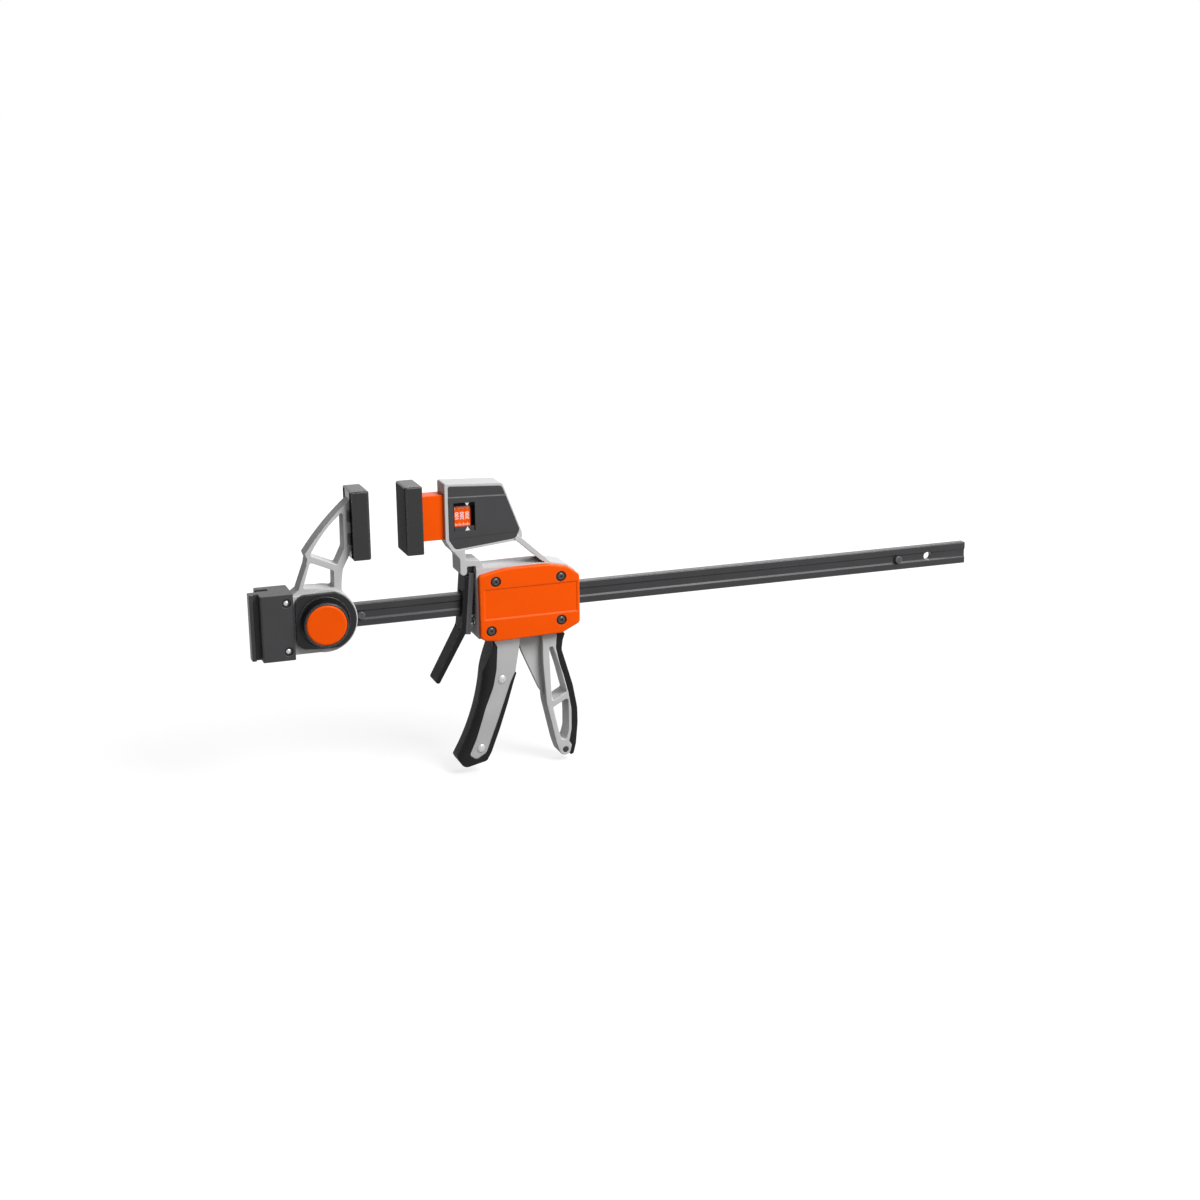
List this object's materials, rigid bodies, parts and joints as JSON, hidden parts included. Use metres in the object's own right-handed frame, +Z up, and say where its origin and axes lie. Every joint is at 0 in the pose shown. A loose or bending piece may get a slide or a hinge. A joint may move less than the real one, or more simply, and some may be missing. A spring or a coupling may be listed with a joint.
{
  "type": "quick release bar clamp",
  "caption": "One-handed bar clamp: a fixed jaw pinned to a grooved steel bar, and a trigger-driven head with a pressure gauge, release lever and padded jaws.",
  "frame": {"origin": "centre of the fixed jaw pad's clamping face", "axes": "+X along the bar from the fixed jaw to the moving jaw, out of the fixed pad's face; +Y towards the back of the clamp, across the bar; +Z up from the bar to the jaws"},
  "size_m": [0.6381, 0.0414, 0.2428],
  "materials": {
    "dark_steel": "black oxide steel, satin",
    "bright_steel": "zinc plated steel",
    "satin_steel": "stamped sheet steel, satin",
    "cast_silver": "die cast metal under light silver paint",
    "black_plastic": "moulded glass filled plastic, fine texture",
    "black_pad": "firm non-marring pad",
    "black_rubber": "soft moulded grip",
    "orange_plastic": "moulded plastic, soft gloss",
    "dark_screw": "black oxide screws"
  },
  "bodies": {
    "frame": {"bar": "dark_steel", "stop_pins": "dark_steel", "fixed_jaw": "cast_silver", "fixed_pad": "black_pad", "end_coupler": "black_plastic", "coupler_screws": "bright_steel", "knob_plate": "black_plastic", "plate_screws": "bright_steel"},
    "jaw_knob": {"knob": "black_plastic", "knob_disc": "orange_plastic", "lock_pin": "bright_steel", "knob_spring": "bright_steel"},
    "head": {"head_casting": "cast_silver", "handle": "cast_silver", "housing_panel_front": "black_plastic", "housing_panel_back": "black_plastic", "side_cover_front": "orange_plastic", "side_cover_back": "orange_plastic", "cover_screws": "dark_screw", "handle_strip": "black_rubber", "handle_pin": "black_plastic", "gauge_pin": "bright_steel", "pivot_pin": "bright_steel"},
    "gauge": {"moving_pad": "black_pad", "gauge_block": "orange_plastic", "gauge_spring": "bright_steel"},
    "trigger": {"trigger_plate_front": "satin_steel", "trigger_plate_back": "satin_steel", "trigger_grip": "black_rubber", "trigger_rivets": "bright_steel", "trigger_cam": "bright_steel", "cam_rivet": "bright_steel"},
    "drive": {"drive_plates": "dark_steel", "drive_spring": "bright_steel"},
    "release": {"release_lever": "black_plastic", "brake_plates": "dark_steel", "lever_rivets": "dark_steel", "brake_spring": "bright_steel"}
  },
  "joints": [
    {"name": "head_slide", "type": "slide", "parent": "frame", "child": "head", "axis": [1, 0, 0], "range_m": [-0.0282, 0.298]},
    {"name": "trigger_squeeze", "type": "hinge", "parent": "head", "child": "trigger", "pos_m": [0.118, 0, -0.0539], "axis": [0, -1, 0], "range_deg": [0, 13], "stiffness_Nm_per_rad": 3, "springref_deg": -14.32},
    {"name": "drive_advance", "type": "slide", "parent": "head", "child": "drive", "axis": [1, 0, 0], "range_m": [0, 0.0049], "deforming": ["drive_spring"]},
    {"name": "release_pull", "type": "hinge", "parent": "head", "child": "release", "pos_m": [0.0837, 0, -0.0449], "axis": [0, -1, 0], "range_deg": [0, 5], "stiffness_Nm_per_rad": 1.2, "springref_deg": -11.46, "deforming": ["brake_spring"]},
    {"name": "gauge_press", "type": "slide", "parent": "head", "child": "gauge", "axis": [1, 0, 0], "range_m": [0, 0.006], "stiffness_N_per_m": 2000, "springref_m": -0.002, "deforming": ["gauge_spring"]},
    {"name": "knob_pull", "type": "slide", "parent": "frame", "child": "jaw_knob", "axis": [0, -1, 0], "range_m": [0, 0.008], "stiffness_N_per_m": 800, "springref_m": -0.003, "deforming": ["knob_spring"]}
  ],
  "couplings": [
    {"joint": "drive_advance", "follows": "trigger_squeeze", "m_per_rad": 0.0215}
  ]
}
